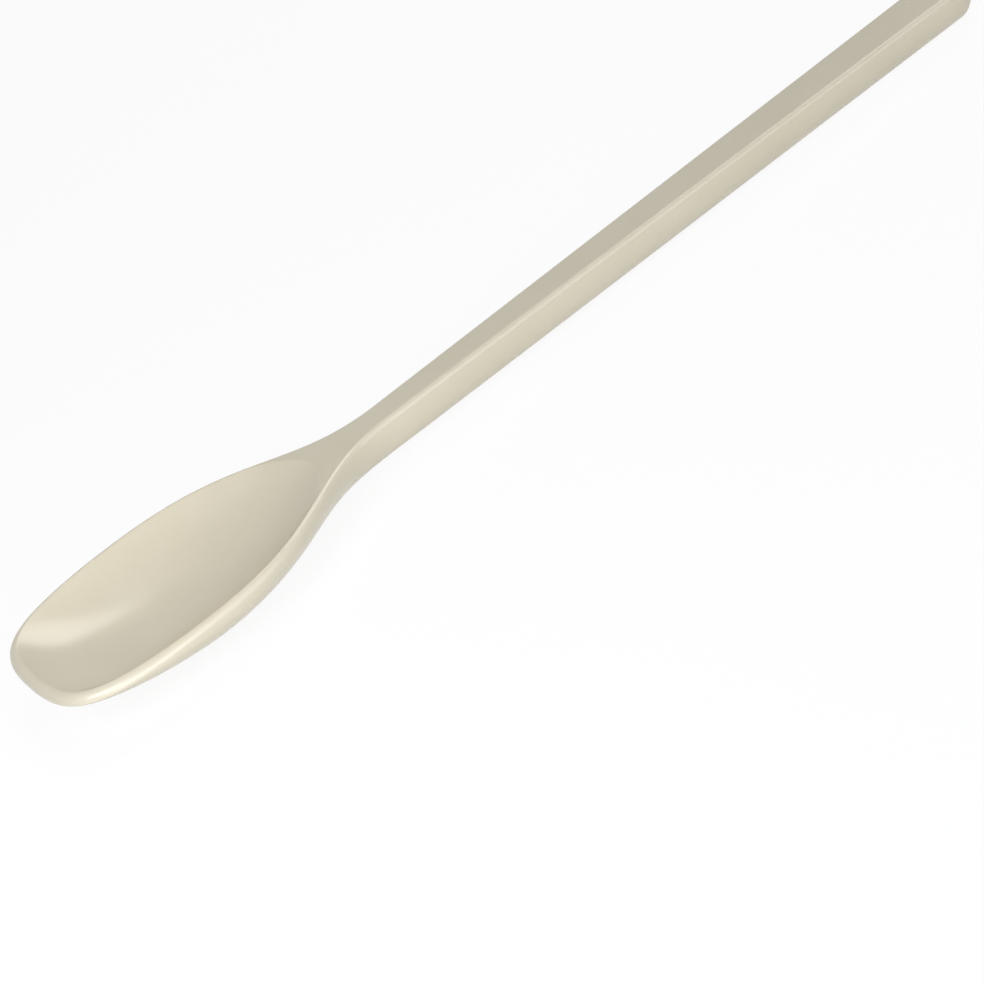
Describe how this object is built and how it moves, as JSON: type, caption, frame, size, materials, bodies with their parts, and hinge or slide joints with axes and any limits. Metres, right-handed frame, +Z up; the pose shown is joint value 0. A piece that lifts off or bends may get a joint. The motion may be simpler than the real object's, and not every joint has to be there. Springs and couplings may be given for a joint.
{
  "type": "mixing spoon",
  "caption": "One-piece moulded mixing spoon with a blunt-tipped shallow bowl, a waisted neck and a long straight D-section handle with a flat top.",
  "frame": {"origin": "on the table that the spoon lies on, under the middle of its length and width", "axes": "+X from the bowl's tip to the handle's end, +Y across the bowl, +Z up out of the bowl's hollow"},
  "size_m": [0.3, 0.06, 0.0142],
  "materials": {
    "melamine": "cream melamine moulded in one piece, satin polish"
  },
  "bodies": {
    "root": {"spoon": "melamine"}
  },
  "joints": []
}
